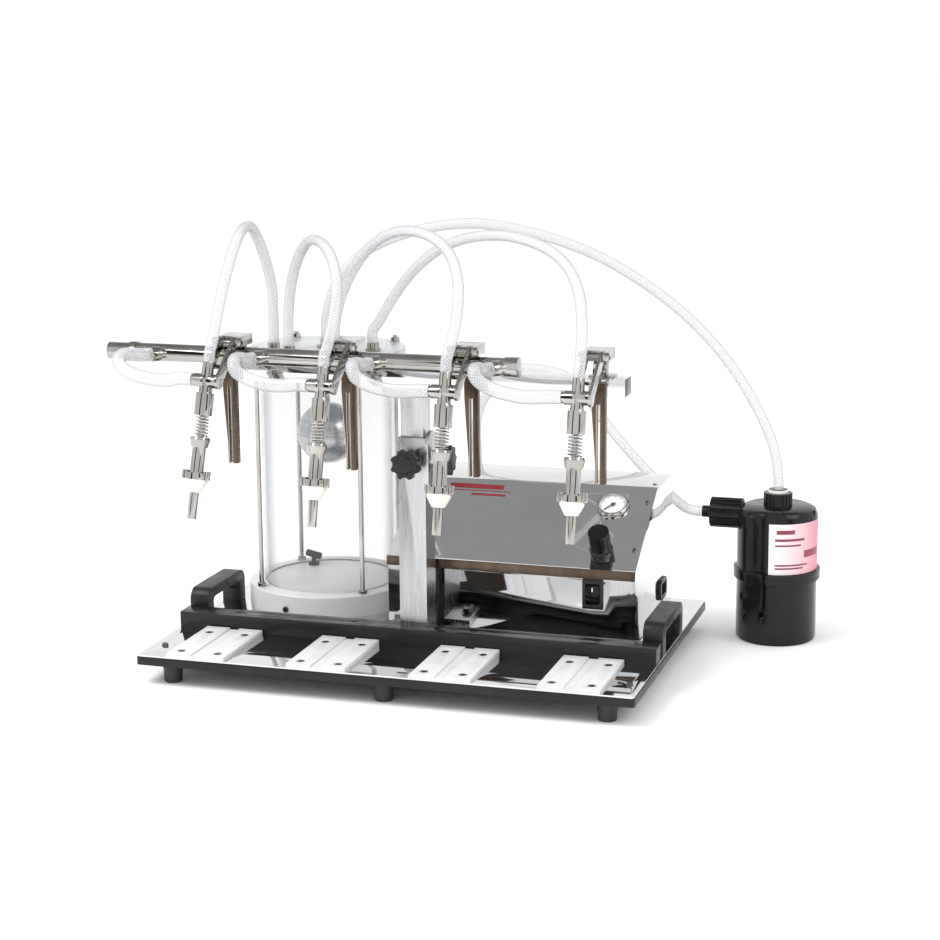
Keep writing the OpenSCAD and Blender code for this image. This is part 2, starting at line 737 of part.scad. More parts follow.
module power_fittings() color("#1a1a1d") {
    on_deck(rocker_x, box_y, rocker_z) difference() {
        union() {
            translate([-frame_w / 2, -2.5, -frame_h / 2]) cube([frame_w, 2.5, frame_h]);
            translate([-frame_w / 2 + 2.2, -eps, -frame_h / 2 + 2.2])
                cube([frame_w - 4.4, 20, frame_h - 4.4]);
        }
        translate([-rocker_w / 2, -3, -rocker_h / 2]) cube([rocker_w, 30, rocker_h]);
    }
    on_deck(box_x + box_w, inlet_y, inlet_z) difference() {
        union() {
            side_profile(3) translate([-19, -13.5]) rounded(38, 27, 11);
            translate([-20, -plug_w / 2 + 0.2, -plug_h / 2 + 0.2])
                cube([20 + eps, plug_w - 0.4, plug_h - 0.4]);
        }
        translate([-16, -12.5, -7.5]) cube([20, 25, 15]);
    }
}
// The rocker is a drum that turns in its frame, with its upper face pressed in.
module switch_rocker() color("#202024")
    on_deck(rocker_x - rocker_w / 2 + 0.5, box_y + 6, rocker_z)
        side_profile(rocker_w - 1) intersection() {
            circle(r = rocker_h / 2 - 0.4);
            polygon([[-5, 13], [-10.5, 0], [-12.5, -1], [-13, -13], [13, -13], [13, 13]]);
        }

// ---------- filter ----------
module at_filter() translate([filter_x, filter_y, 0]) children();
module filter_bowl() color("#131316")
    at_filter() {
        difference() {
            union() {
                cylinder(r1 = bowl_r - 2, r2 = bowl_r, h = 4, $fn = 96);
                translate([0, 0, 4]) cylinder(r = bowl_r, h = bowl_h - 4, $fn = 96);
                translate([0, 0, bowl_h - rim_t]) cylinder(r = rim_r, h = rim_t, $fn = 96);
            }
            translate([0, 0, 4]) cylinder(r = bowl_r - bowl_wall, h = bowl_h, $fn = 96);
        }
        rotate(-latch_angle) for (s = [-1, 1])
            translate([s * (latch_w / 2 - 2) - 2, -bowl_r - 9, latch_hinge_z - 5])
                cube([4, 11, 10]);
        rotate(-latch_angle) translate([-latch_w / 2 - 2, -bowl_r - 5, latch_hinge_z])
            along_x(1.5, latch_w + 4);
    }

// The cover has a round shoulder, a ribbed cap for each hose and a pale seal on top.
shoulder = 10;
module ribbed_cap(r, h) {
    cylinder(r = r - 1, h = h);
    for (k = [1:18]) rotate(20 * k) translate([r - 2, -1.2, 0]) cube([2, 2.4, h]);
}
module filter_cover() color("#131316")
    at_filter() difference() {
        union() {
            translate([0, 0, bowl_h]) cylinder(r = rim_r, h = rim_t, $fn = 96);
            translate([0, 0, bowl_h])
                cylinder(r = bowl_r, h = cover_top - shoulder - bowl_h, $fn = 96);
            translate([0, 0, cover_top - shoulder])
                cylinder(r1 = bowl_r, r2 = bowl_r - 3, h = shoulder * 0.7, $fn = 96);
            translate([0, 0, cover_top - shoulder * 0.3])
                cylinder(r1 = bowl_r - 3, r2 = bowl_r - shoulder, h = shoulder * 0.3, $fn = 96);
            translate([0, 0, cover_top - 2]) ribbed_cap(18, 18);
            translate([0, 0, cover_top + 16]) cylinder(r = 12, h = 4);
            translate([-side_reach + 11, 0, side_z]) rotate([0, 90, 0]) ribbed_cap(19, 40);
            translate([-side_reach, 0, side_z]) along_x(hose_r + 1, 20);
        }
        translate([0, 0, bowl_h - 1])
            cylinder(r = bowl_r - bowl_wall, h = cover_top - bowl_h - 7, $fn = 96);
        translate([0, 0, cover_top - 10]) cylinder(r = 3.5, h = 40);
        translate([-side_reach - 1, 0, side_z - 2])
            along_x(3.5, side_reach - bowl_r + 12);
    }
module filter_cartridge() color("#e9e6da")
    at_filter() translate([0, 0, 4]) difference() {
        union() {
            cylinder(r = 34, h = cover_top - 20, $fn = 64);
            cylinder(r = 38, h = 5);
            translate([0, 0, cover_top - 25]) cylinder(r = 38, h = 5);
        }
        translate([0, 0, 5]) cylinder(r = 16, h = cover_top);
    }
module filter_latch() color("#1c1c20")
    at_filter() rotate(-latch_angle) difference() {
        union() {
            translate([-latch_w / 2 + 4.5, -rim_r - 5, latch_hinge_z - 4])
                cube([latch_w - 9, 4, latch_top - latch_hinge_z + 4]);
            translate([-latch_w / 2 + 4.5, -bowl_r - 5, latch_hinge_z]) along_x(4, latch_w - 9);
            translate([-latch_w / 2, -rim_r - 5, latch_hinge_z + 12])
                cube([latch_w, 4, latch_top - latch_hinge_z - 12]);
            translate([-latch_w / 2, -rim_r - 4, latch_top - 2]) cube([latch_w, 6, 2]);
        }
        translate([-latch_w, -bowl_r - 5, latch_hinge_z]) along_x(1.5 + fit, 2 * latch_w);
    }

// ---------- fasteners ----------
module screw_head(r, h) difference() {
    cylinder(r1 = r, r2 = r - 0.6, h = h);
    translate([0, 0, h - 0.8]) cylinder(r = r * 0.45, h = 1, $fn = 6);
}
module fasteners() color("#5a5a60") {
    for (x = station_x, p = rest_screws) on_deck(x + p[0], p[1], rest_t - 2.6)
        screw_head(4.8, 2.2);
    for (x = station_x) on_deck(x, bar_y + bar_d / 2, bar_h - 3) screw_head(4.8, 2.4);
    for (s = [-1, 1]) on_deck(s * (base_w / 2 - 16), 46) screw_head(4, 2.4);
    for (s = [-1, 1]) on_deck(col_x + s * flange_bolt, col_y + col_d / 2, flange_t) {
        cylinder(r = 8, h = 1.5);
        translate([0, 0, 1.5]) cylinder(r = 6.5, h = 6, $fn = 6);
        translate([0, 0, -flange_t]) cylinder(r = 3.2, h = flange_t + eps);
    }
    on_deck(vessel_x - 22, vessel_y - disc_r * cos(12.2) - 1, 9) rotate([90, 0, 0])
        screw_head(4, 2);
    for (a = [34, 115]) on_panel(box_x + box_w - 8, a) screw_head(2.6, 1.6);
    on_deck(box_x + box_w - 8, box_y + box_d - top_d + 22, box_h) screw_head(2.6, 1.6);
}

// ---------- hoses ----------
// Directions along a route: from each point's neighbours, and straight at its ends.
function heading(p, k) = let (d = p[min(k + 1, len(p) - 1)] - p[max(k - 1, 0)]) d / norm(d);
function side(d) = let (s = abs(d[2]) > 0.98 ? [1, 0, 0] : cross(d, [0, 0, 1])) s / norm(s);
// Each ring's side vector is the one before it, turned as little as the route bends.
function carried(p, k) = k == 0 ? side(heading(p, 0)) :
    let (d = heading(p, k), s = carried(p, k - 1), q = s - (s * d) * d) q / norm(q);
module hose(p, r) {
    tube_mesh([for (k = [0:len(p) - 1])
        let (d = heading(p, k), u = carried(p, k)) ring(p[k], u, cross(d, u), r, 10)], 10);
}

// Ends of the routes, on the faces of their fittings.
stub_end = stub_l / sqrt(2);
function stub_face(i) = [stub_x[i - 1] - stub_end, pipe_y - stub_end, deck_z + pipe_z];
function port_face(k) = [
    vessel_x + port_ring * cos(port_angles[k]),
    vessel_y + port_ring * sin(port_angles[k]),
    deck_z + vessel_h + port_h];
function spout_up(i) =
    [sin(lean[i - 1]), sin(tilt) * cos(lean[i - 1]), cos(tilt) * cos(lean[i - 1])];
function spout_left(i) =
    [-cos(lean[i - 1]), sin(tilt) * sin(lean[i - 1]), cos(tilt) * sin(lean[i - 1])];
function tee_at(i) = [head_x[i - 1], tee_y, deck_z + tee_z];

// Product hoses: x counts from the spout.
supply_bends = [
    [[-105, 73, 381], [-111, 67, 382], [-115, 61, 382], [-117, 55, 380], [-116, 50, 376],
     [-112, 47, 371], [-105, 45, 367], [-95, 43, 363], [-82, 42, 360], [-67, 41, 358],
     [-50, 40, 358]],
    [[-112, 73, 381], [-115, 67, 382], [-115, 61, 382], [-114, 55, 380], [-112, 50, 376],
     [-108, 47, 371], [-101, 45, 367], [-91, 43, 363], [-79, 42, 360], [-65, 41, 358],
     [-49, 40, 358]],
    [[-113, 73, 381], [-116, 67, 382], [-116, 61, 382], [-115, 55, 380], [-112, 50, 376],
     [-108, 47, 371], [-101, 45, 367], [-91, 43, 363], [-79, 42, 360], [-65, 41, 358],
     [-49, 40, 358]],
    [[-122, 73, 381], [-125, 67, 382], [-125, 61, 382], [-123, 55, 380], [-120, 50, 376],
     [-114, 47, 371], [-106, 45, 367], [-95, 43, 363], [-81, 42, 360], [-66, 41, 358],
     [-49, 40, 358]]];
return_routes = [
    [[-213, 52, 402], [-212, 68, 436], [-212, 92, 472], [-213, 120, 503], [-215, 150, 522],
     [-217, 180, 524], [-219, 206, 508], [-219, 230, 478], [-219, 247, 442],
     [-220, 252, 406]],
    [[-72, 53, 402], [-69, 70, 436], [-75, 95, 470], [-91, 122, 496], [-113, 148, 510],
     [-137, 174, 510], [-159, 198, 494], [-177, 217, 466], [-188, 229, 434],
     [-193, 234, 402]],
    [[73, 53, 402], [77, 70, 438], [71, 96, 473], [54, 124, 501], [26, 150, 518],
     [-9, 174, 524], [-44, 196, 518], [-76, 214, 500], [-104, 228, 470], [-124, 237, 434],
     [-133, 239, 402]],
    [[225, 53, 402], [222, 70, 434], [213, 94, 464], [196, 120, 488], [170, 146, 505],
     [137, 170, 515], [100, 192, 519], [62, 212, 516], [26, 230, 507], [-8, 246, 490],
     [-40, 262, 465], [-68, 276, 434], [-90, 283, 402]]];
vacuum_route = [
    [-168, 300, 400], [-158, 300, 434], [-138, 301, 464], [-108, 302, 488],
    [-70, 303, 505], [-28, 305, 516], [15, 309, 521], [57, 316, 518], [99, 324, 509],
    [139, 334, 496], [177, 345, 479], [214, 355, 457], [248, 366, 432], [281, 376, 403],
    [312, 384, 370], [338, 391, 335], [361, 395, 297], [378, 397, 262], [388, 397, 232]];
pump_route = [
    [276, 399, 158], [267, 406, 161], [257, 413, 166], [246, 421, 173], [232, 427, 184],
    [213, 431, 200], [190, 434, 223], [169, 435, 246], [150, 435, 270], [135, 435, 293],
    [112, 436, 312], [80, 437, 321], [45, 437, 320], [14, 438, 300], [-8, 438, 270],
    [-15, 438, 236], [-13, 437, 202]];

module supply_hose(i) color("#e8eaec")
    hose(concat([stub_face(i), stub_face(i) + [-8, -8, 0]],
                [for (p = supply_bends[i - 1]) p + [head_x[i - 1], 0, 0]],
                [tee_at(i) + (port_l + 14) * spout_left(i),
                 tee_at(i) + (port_l + fit) * spout_left(i)]),
         supply_r);
module return_hose(i) color("#e8eaec")
    hose(concat([tee_at(i) + (neck_l + fit) * spout_up(i), tee_at(i) + (neck_l + 14) * spout_up(i)],
                return_routes[i - 1], [port_face(i - 1) + [0, 0, 14], port_face(i - 1)]),
         hose_r);
vacuum_face = [vessel_x, vessel_y, deck_z + vessel_h + port_h];
filter_face = [filter_x, filter_y, cover_top + 20];
module vacuum_hose() color("#e8eaec")
    hose(concat([vacuum_face, vacuum_face + [0, 0, 14]], vacuum_route,
                [filter_face + [0, 0, 14], filter_face]), hose_r);
side_face = [filter_x - side_reach, filter_y, side_z];
pump_face = [pump_port[0], box_y + box_d + port_h, deck_z + pump_port[1]];
module pump_hose() color("#e8eaec")
    hose(concat([side_face, side_face + [-10, 0, 0]], pump_route,
                [pump_face + [0, 14, 0], pump_face]), hose_r);

at_origin() base_slab();
at_origin() base_sheet();
at_origin() rubber_feet();
at_origin() bottle_rests();
at_origin() stop_bar();
at_origin() carry_handles();
at_origin() fasteners();
at_origin() column_post();
at_origin() lift_mast();
at_origin() knob_front();
at_origin() knob_side();
at_origin() support_rail();
at_origin() manifold();
at_origin() station_brackets();
at_origin() neck_forks();
at_origin() housing_cover();
at_origin() housing_base();
at_origin() vacuum_pump();
at_origin() gauge_case();
at_origin() gauge_needle();
at_origin() regulator_knob();
at_origin() power_fittings();
at_origin() switch_rocker();
at_origin() vessel_base();
at_origin() vessel_cylinder();
at_origin() vessel_lid();
at_origin() tie_rods();
at_origin() hose_fittings();
at_origin() float_ball();
at_origin() drain_plug();
at_origin() filter_bowl();
at_origin() filter_cover();
at_origin() filter_cartridge();
at_origin() filter_latch();
for (i = [1:4]) {
    at_origin() nozzle_body(i);
    at_origin() spring(i);
    at_origin() sleeve(i);
    at_origin() stopper(i);
    at_origin() supply_hose(i);
    at_origin() return_hose(i);
}
at_origin() vacuum_hose();
at_origin() pump_hose();
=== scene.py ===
"""Looks of the tabletop bottle filler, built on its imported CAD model."""
import json
import math

import bmesh
import bpy
from mathutils import Matrix, Vector

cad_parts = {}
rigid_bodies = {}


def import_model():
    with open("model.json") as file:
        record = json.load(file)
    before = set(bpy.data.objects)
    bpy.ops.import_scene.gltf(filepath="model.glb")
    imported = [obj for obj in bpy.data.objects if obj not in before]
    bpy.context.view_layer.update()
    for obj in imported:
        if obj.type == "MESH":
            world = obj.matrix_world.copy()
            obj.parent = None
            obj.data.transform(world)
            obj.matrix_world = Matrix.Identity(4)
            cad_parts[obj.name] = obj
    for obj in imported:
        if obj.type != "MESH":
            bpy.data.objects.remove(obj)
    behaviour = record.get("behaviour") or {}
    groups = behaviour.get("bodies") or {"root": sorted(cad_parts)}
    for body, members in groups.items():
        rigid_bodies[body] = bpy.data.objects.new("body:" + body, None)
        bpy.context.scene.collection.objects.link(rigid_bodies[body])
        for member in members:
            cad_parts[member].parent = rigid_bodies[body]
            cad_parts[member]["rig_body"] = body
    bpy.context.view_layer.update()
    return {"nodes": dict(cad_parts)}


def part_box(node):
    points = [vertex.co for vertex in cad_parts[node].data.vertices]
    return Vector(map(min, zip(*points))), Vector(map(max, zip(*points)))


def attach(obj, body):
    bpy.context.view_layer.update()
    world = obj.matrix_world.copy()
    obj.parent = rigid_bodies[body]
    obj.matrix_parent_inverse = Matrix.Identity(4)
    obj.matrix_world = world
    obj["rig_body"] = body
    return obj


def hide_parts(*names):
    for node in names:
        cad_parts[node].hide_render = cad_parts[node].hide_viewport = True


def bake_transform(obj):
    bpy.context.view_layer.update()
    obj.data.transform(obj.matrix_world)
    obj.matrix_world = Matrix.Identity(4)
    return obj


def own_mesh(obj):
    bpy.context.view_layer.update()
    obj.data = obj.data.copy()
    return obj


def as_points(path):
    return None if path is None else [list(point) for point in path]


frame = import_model()
NODES = frame["nodes"]
MM = 0.001

# The CAD source counts X from the base's centre, Y from its front edge and Z from the floor.
MID_X, MID_Y, DECK = 38.0, 225.5, 36.0
HEAD_X = (-216.0, -74.0, 72.0, 225.0)
TILT = math.radians(12.3)
LEAN = [math.radians(a) for a in (3.3, 1.1, 0, 0)]
TEE = (40.0, 323.5)     # Y, and Z over the deck, of every spout's tee
BOX_Y, FRONT_H, PANEL_RUN, PANEL_RISE = 196.0, 90.0, 118.0, 74.0
FILTER = (392.0, 397.0)


def at(x, y, z):
    """A point of the CAD source, in mm, as a point of the frame, in metres."""
    return Vector((x - MID_X, y - MID_Y, z)) * MM


def on_deck(x, y, z):
    return at(x, y, z + DECK)


def spout_axes(i):
    """The directions up along spout i and out of its left port."""
    up = Vector((math.sin(LEAN[i - 1]), math.sin(TILT) * math.cos(LEAN[i - 1]),
                 math.cos(TILT) * math.cos(LEAN[i - 1])))
    left = Vector((-math.cos(LEAN[i - 1]), math.sin(TILT) * math.sin(LEAN[i - 1]),
                   math.cos(TILT) * math.sin(LEAN[i - 1])))
    return up, left


# ---------- camera ----------
def make_camera():
    azimuth, elevation, roll = (math.radians(a) for a in (16.34, 11.18, -0.28))
    back = Vector((math.sin(azimuth) * math.cos(elevation),
                   -math.cos(azimuth) * math.cos(elevation), math.sin(elevation)))
    side = Vector((math.cos(azimuth), math.sin(azimuth), 0))
    top = back.cross(side)
    right = side * math.cos(roll) + top * math.sin(roll)
    up = top * math.cos(roll) - side * math.sin(roll)
    data = bpy.data.cameras.new("camera")
    data.lens, data.sensor_width = 80.1, 36
    data.shift_x, data.shift_y = -0.0393, -0.0371
    data.clip_start, data.clip_end = 0.05, 60
    camera = bpy.data.objects.new("camera", data)
    bpy.context.scene.collection.objects.link(camera)
    turn = Matrix((right, up, back)).transposed().to_4x4()
    camera.matrix_world = Matrix.Translation(at(784.05, -2142.65, 763.58)) @ turn
    bpy.context.scene.camera = camera


make_camera()


# ---------- materials ----------
NAMES = {"Specular_IOR_Level": "Specular IOR Level", "Base_Color": "Base Color"}


class Graph:
    """A Principled material and the few kinds of node that its details are made of."""

    def __init__(self, name):
        self.material = bpy.data.materials.new(name)
        self.material.use_nodes = True
        self.tree = self.material.node_tree
        self.shader = self.tree.nodes["Principled BSDF"]
        self.place = self.node("ShaderNodeTexCoord").outputs

    def node(self, kind, inputs=(), **settings):
        made = self.tree.nodes.new(kind)
        for key, value in settings.items():
            setattr(made, key, value)
        for key, value in dict(inputs).items():
            self.put(made.inputs[key], value)
        return made

    def put(self, socket, value):
        if isinstance(value, bpy.types.NodeSocket):
            self.tree.links.new(value, socket)
        else:
            socket.default_value = value

    def noise(self, scale, stretch=(1, 1, 1), detail=3.0, rough=0.5, coords=None):
        spot = self.node("ShaderNodeMapping",
                         {"Vector": coords or self.place["Object"], "Scale": stretch})
        made = self.node("ShaderNodeTexNoise", {
            "Vector": spot.outputs[0], "Scale": scale, "Detail": detail, "Roughness": rough})
        return made.outputs["Fac"]

    def span(self, value, low, high, start=0.3, end=0.7):
        return self.node("ShaderNodeMapRange", {
            "Value": value, "From Min": start, "From Max": end,
            "To Min": low, "To Max": high}).outputs[0]

    def math(self, operation, a, b=0.0):
        return self.node("ShaderNodeMath", {0: a, 1: b}, operation=operation).outputs[0]

    def blend(self, share, a, b):
        made = self.node("ShaderNodeMix", {"Factor": share}, data_type="RGBA")
        for socket, value in ((made.inputs[6], a), (made.inputs[7], b)):
            self.put(socket, (*value, 1) if isinstance(value, tuple) else value)
        return made.outputs[2]

    def bump(self, height, strength, distance):
        made = self.node("ShaderNodeBump", {
            "Height": height, "Strength": strength, "Distance": distance})
        self.put(self.shader.inputs["Normal"], made.outputs[0])

    def set(self, **sockets):
        for key, value in sockets.items():
            if "Color" in key:
                value = (*value, 1) if isinstance(value, tuple) else value
            self.put(self.shader.inputs[NAMES.get(key, key.replace("_", " "))], value)
        return self


def look(name, dark, light, rough, metallic=0.0, tone_scale=25, rough_scale=60,
         grain=None, stretch=(1, 1, 1), **sockets):
    """A surface whose colour runs between two tones and its roughness between two values,
    with an optional grain of (scale, strength, depth in metres)."""
    g = Graph(name)
    g.set(Metallic=metallic, **sockets)
    g.set(Base_Color=g.blend(g.span(g.noise(tone_scale, stretch), 0, 1), dark, light))
    g.set(Roughness=g.span(g.noise(rough_scale, stretch, 5), *rough))
    if grain:
        scale, strength, depth = grain
        g.bump(g.noise(scale, stretch, 2), strength, depth)
    return g.material


def hose_look(name, around, lay):
    """Clear hose with a white braid: two sets of threads that wind in opposite directions."""
    g = Graph(name)
    u, v = g.node("ShaderNodeSeparateXYZ", {0: g.place["UV"]}).outputs[:2]
    threads = []
    for turn in ("ADD", "SUBTRACT"):
        phase = g.math(turn, g.math("MULTIPLY", u, around), g.math("MULTIPLY", v, lay))
        wave = g.math("ABSOLUTE", g.math("SUBTRACT", g.math("FRACT", phase), 0.5))
        threads.append(g.span(wave, 1, 0, 0.05, 0.13))
    braid = g.math("MAXIMUM", *threads)
    facing = g.node("ShaderNodeLayerWeight", {"Blend": 0.5}).outputs["Facing"]
    body = g.span(facing, 0.36, 0.92, 0.10, 0.85)
    # The colour darkens towards the hose's rims: painted shade standing in for the dark edges that
    # bent light gives a clear tube.
    painted_rim_shade = g.span(facing, 0, 1, 0.35, 0.90)
    clear = g.blend(painted_rim_shade, (0.66, 0.67, 0.69), (0.22, 0.225, 0.24))
    g.set(Base_Color=g.blend(g.math("MULTIPLY", braid, 0.8), clear, (0.86, 0.86, 0.87)),
          Alpha=g.math("MAXIMUM", body, g.math("MULTIPLY", braid, 0.74)),
          Roughness=g.span(g.noise(300), 0.10, 0.22), IOR=1.5)
    g.bump(braid, 0.35, 0.0004)
    return g.material


def film_look(name, tone, thin, thick, rough=0.05):
    """Clear sheet seen without bending what is behind it: faint face on, denser at its edges. The
    density at the edges is partly real, as a sheet seen edge-on shows more of itself, and partly
    painted shade: its grey there stands in for the dark bands that bent light gives.
    """
    g = Graph(name)
    facing = g.node("ShaderNodeLayerWeight", {"Blend": 0.5}).outputs["Facing"]
    g.set(Base_Color=g.blend(g.span(g.noise(20), 0, 1), tone, tuple(0.94 * c for c in tone)),
          Alpha=g.span(facing, thin, thick, 0.45, 0.98),
          Roughness=g.span(g.noise(60), rough, rough + 0.06))
    return g.material


def label_look(name, low, high):
    """Print that fades from white at the left to pink at the right of its sheet."""
    g = Graph(name)
    u = g.node("ShaderNodeSeparateXYZ", {0: g.place["UV"]}).outputs[0]
    shade = g.math("ADD", g.span(u, 0, 1, 0.1, 0.9), g.math("MULTIPLY", g.noise(40), 0.06))
    g.set(Base_Color=g.blend(shade, low, high), Roughness=g.span(g.noise(80), 0.30, 0.42))
    return g.material


M = {
    "mirror": look("mirror_steel", (0.70, 0.70, 0.71), (0.76, 0.76, 0.76), (0.03, 0.08), 1.0,
                   rough_scale=14),
    "satin": look("satin_steel", (0.46, 0.46, 0.47), (0.56, 0.56, 0.57), (0.22, 0.36), 1.0,
                  rough_scale=90, stretch=(6, 6, 0.5)),
    "chrome": look("chrome", (0.36, 0.34, 0.32), (0.50, 0.48, 0.46), (0.05, 0.12), 1.0),
    "ball": look("ball_steel", (0.44, 0.44, 0.45), (0.56, 0.56, 0.57), (0.18, 0.28), 1.0,
                 stretch=(1, 1, 9), rough_scale=90),
    "bronze_chrome": look("worn_chrome", (0.46, 0.42, 0.36), (0.64, 0.60, 0.53), (0.14, 0.28),
                          1.0, stretch=(1, 1, 0.3)),
    # Dark brown steel that is painted shade and painted dark reflection, put on the forks and the
    # housing's lip.
    "brown": look("painted_shade_and_reflection", (0.050, 0.035, 0.026), (0.16, 0.115, 0.085), (0.20, 0.34), 0.8,
                  stretch=(1, 1, 0.3)),
    "dark": look("dark_steel", (0.10, 0.10, 0.11), (0.22, 0.21, 0.21), (0.18, 0.34), 1.0),
    "spring": look("spring_steel", (0.50, 0.48, 0.46), (0.70, 0.68, 0.66), (0.12, 0.22), 1.0),
    "slab": look("black_slab", (0.008, 0.008, 0.010), (0.016, 0.016, 0.018), (0.28, 0.42),
                 grain=(700, 0.15, 0.0002), Specular_IOR_Level=0.3),
    "matte": look("black_plastic", (0.010, 0.010, 0.011), (0.018, 0.018, 0.020), (0.30, 0.44),
                  grain=(1400, 0.20, 0.0002), Specular_IOR_Level=0.35),
    "gloss": look("gloss_black", (0.005, 0.005, 0.006), (0.010, 0.010, 0.012), (0.12, 0.22),
                  rough_scale=20, Specular_IOR_Level=0.3),
    "bar": look("bar_black", (0.008, 0.008, 0.009), (0.016, 0.016, 0.018), (0.16, 0.28),
                stretch=(0.5, 6, 6), Specular_IOR_Level=0.3),
    "white": look("white_plastic", (0.66, 0.66, 0.67), (0.72, 0.72, 0.725), (0.30, 0.44),
                  grain=(900, 0.12, 0.0002), Subsurface_Weight=0.1,
                  Subsurface_Radius=(0.004, 0.004, 0.004)),
    "rubber": look("white_rubber", (0.78, 0.74, 0.68), (0.88, 0.86, 0.82), (0.42, 0.56),
                   grain=(900, 0.15, 0.0002)),
    "foot": look("foot_rubber", (0.018, 0.018, 0.020), (0.035, 0.035, 0.038), (0.50, 0.66),
                 grain=(1200, 0.3, 0.0003)),
    "acrylic": film_look("clear_acrylic", (0.42, 0.44, 0.46), 0.10, 0.60),
    "lid": film_look("lid_acrylic", (0.50, 0.52, 0.54), 0.60, 0.92, 0.16),
    "glass": film_look("gauge_glass", (0.80, 0.82, 0.83), 0.04, 0.30),
    "paper": look("filter_paper", (0.70, 0.66, 0.55), (0.82, 0.79, 0.70), (0.8, 0.9)),
    "pump": look("cast_pump", (0.20, 0.21, 0.22), (0.30, 0.31, 0.33), (0.4, 0.6), 0.8,
                 grain=(500, 0.4, 0.0004)),
    "ink": look("dial_ink", (0.010, 0.010, 0.010), (0.020, 0.020, 0.020), (0.4, 0.5)),
    "dial": look("dial_face", (0.84, 0.84, 0.83), (0.89, 0.89, 0.88), (0.3, 0.4)),
    "red": look("red_rule", (0.20, 0.008, 0.014), (0.26, 0.012, 0.020), (0.4, 0.5)),
    "label": label_look("filter_label", (0.86, 0.84, 0.84), (0.62, 0.16, 0.24)),
    "label_ink": look("label_ink", (0.20, 0.03, 0.05), (0.30, 0.05, 0.08), (0.3, 0.4)),
    "hose": hose_look("clear_hose", 8.0, 300.0),
    "wide_hose": hose_look("wide_hose", 10.0, 280.0),
}


# ---------- pieces ----------
def smooth(mesh, degrees=32):
    for face in mesh.polygons:
        face.use_smooth = True
    mesh.set_sharp_from_angle(angle=math.radians(degrees))


def piece(name, bm, material, body, nodes=(), degrees=32):
    mesh = bpy.data.meshes.new(name)
    bm.to_mesh(mesh)
    bm.free()
    smooth(mesh, degrees)
    mesh.materials.append(M[material])
    made = bpy.data.objects.new(name, mesh)
    bpy.context.scene.collection.objects.link(made)
    if body:
        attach(made, body)
    if nodes:
        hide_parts(*nodes)
    return made


def body_of(node):
    return NODES[node]["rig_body"]


def dress(node, material, bevel=0.4, segments=2):
    """The CAD node's own shape with its edges broken, as every moulded or cut piece has."""
    bm = bmesh.new()
    bm.from_mesh(NODES[node].data)
    bmesh.ops.remove_doubles(bm, verts=bm.verts, dist=1e-6)
    bmesh.ops.dissolve_limit(bm, angle_limit=math.radians(0.6), verts=bm.verts, edges=bm.edges)
    if bevel:
        sharp = [e for e in bm.edges
                 if len(e.link_faces) == 2 and e.calc_face_angle(0) > math.radians(35)]
        bmesh.ops.bevel(bm, geom=sharp, offset=bevel * MM, segments=segments, profile=0.6,
                        affect="EDGES", clamp_overlap=True)
    return piece(node + "_made", bm, material, body_of(node), [node])


def curve_through(points, step=3.0):
    """Points about step mm apart on a smooth curve through the given ones, in metres."""
    ends = [2 * points[0] - points[1]] + points + [2 * points[-1] - points[-2]]
    made = []
    for a, b, c, d in zip(ends, ends[1:], ends[2:], ends[3:]):
        count = max(1, round((c - b).length / (step * MM)))
        for k in range(count):
            t = k / count
            made.append(0.5 * ((2 * b) + (c - a) * t + (2 * a - 5 * b + 4 * c - d) * t * t
                               + (3 * b - a - 3 * c + d) * t ** 3))
    return made + [points[-1]]


def tube(path, radius, sides=24):
    """A bmesh tube round a path, with UVs: once around, and metres along."""
    bm = bmesh.new()
    uv = bm.loops.layers.uv.new("UVMap")
    rings, run, runs = [], 0.0, []
    across = None
    for k, spot in enumerate(path):
        ahead = (path[min(k + 1, len(path) - 1)] - path[max(k - 1, 0)]).normalized()
        if across is None:
            across = ahead.orthogonal()
        across = (across - ahead * across.dot(ahead)).normalized()
        other = ahead.cross(across)
        rings.append([bm.verts.new(spot + radius * (
            math.cos(2 * math.pi * j / sides) * across + math.sin(2 * math.pi * j / sides) * other))
            for j in range(sides)])
        run += (spot - path[k - 1]).length if k else 0.0
        runs.append(run)
    for k in range(len(rings) - 1):
        for j in range(sides):
            n = (j + 1) % sides
            face = bm.faces.new((rings[k][j], rings[k][n], rings[k + 1][n], rings[k + 1][j]))
            for loop, at_u, at_v in zip(face.loops, (j, j + 1, j + 1, j), (0, 0, 1, 1)):
                loop[uv].uv = (at_u / sides, runs[k + at_v])
    return bm, run


# ---------- hoses ----------
# Their routes are the CAD source's own points, in mm, with Z from the floor.
# A product hose's X counts from its spout.
SUPPLY_BENDS = [
    [(-105, 73, 381), (-111, 67, 382), (-115, 61, 382), (-117, 55, 380), (-116, 50, 376),
     (-112, 47, 371), (-105, 45, 367), (-95, 43, 363), (-82, 42, 360), (-67, 41, 358),
     (-50, 40, 358)],
    [(-112, 73, 381), (-115, 67, 382), (-115, 61, 382), (-114, 55, 380), (-112, 50, 376),
     (-108, 47, 371), (-101, 45, 367), (-91, 43, 363), (-79, 42, 360), (-65, 41, 358),
     (-49, 40, 358)],
    [(-113, 73, 381), (-116, 67, 382), (-116, 61, 382), (-115, 55, 380), (-112, 50, 376),
     (-108, 47, 371), (-101, 45, 367), (-91, 43, 363), (-79, 42, 360), (-65, 41, 358),
     (-49, 40, 358)],
    [(-122, 73, 381), (-125, 67, 382), (-125, 61, 382), (-123, 55, 380), (-120, 50, 376),
     (-114, 47, 371), (-106, 45, 367), (-95, 43, 363), (-81, 42, 360), (-66, 41, 358),
     (-49, 40, 358)]]
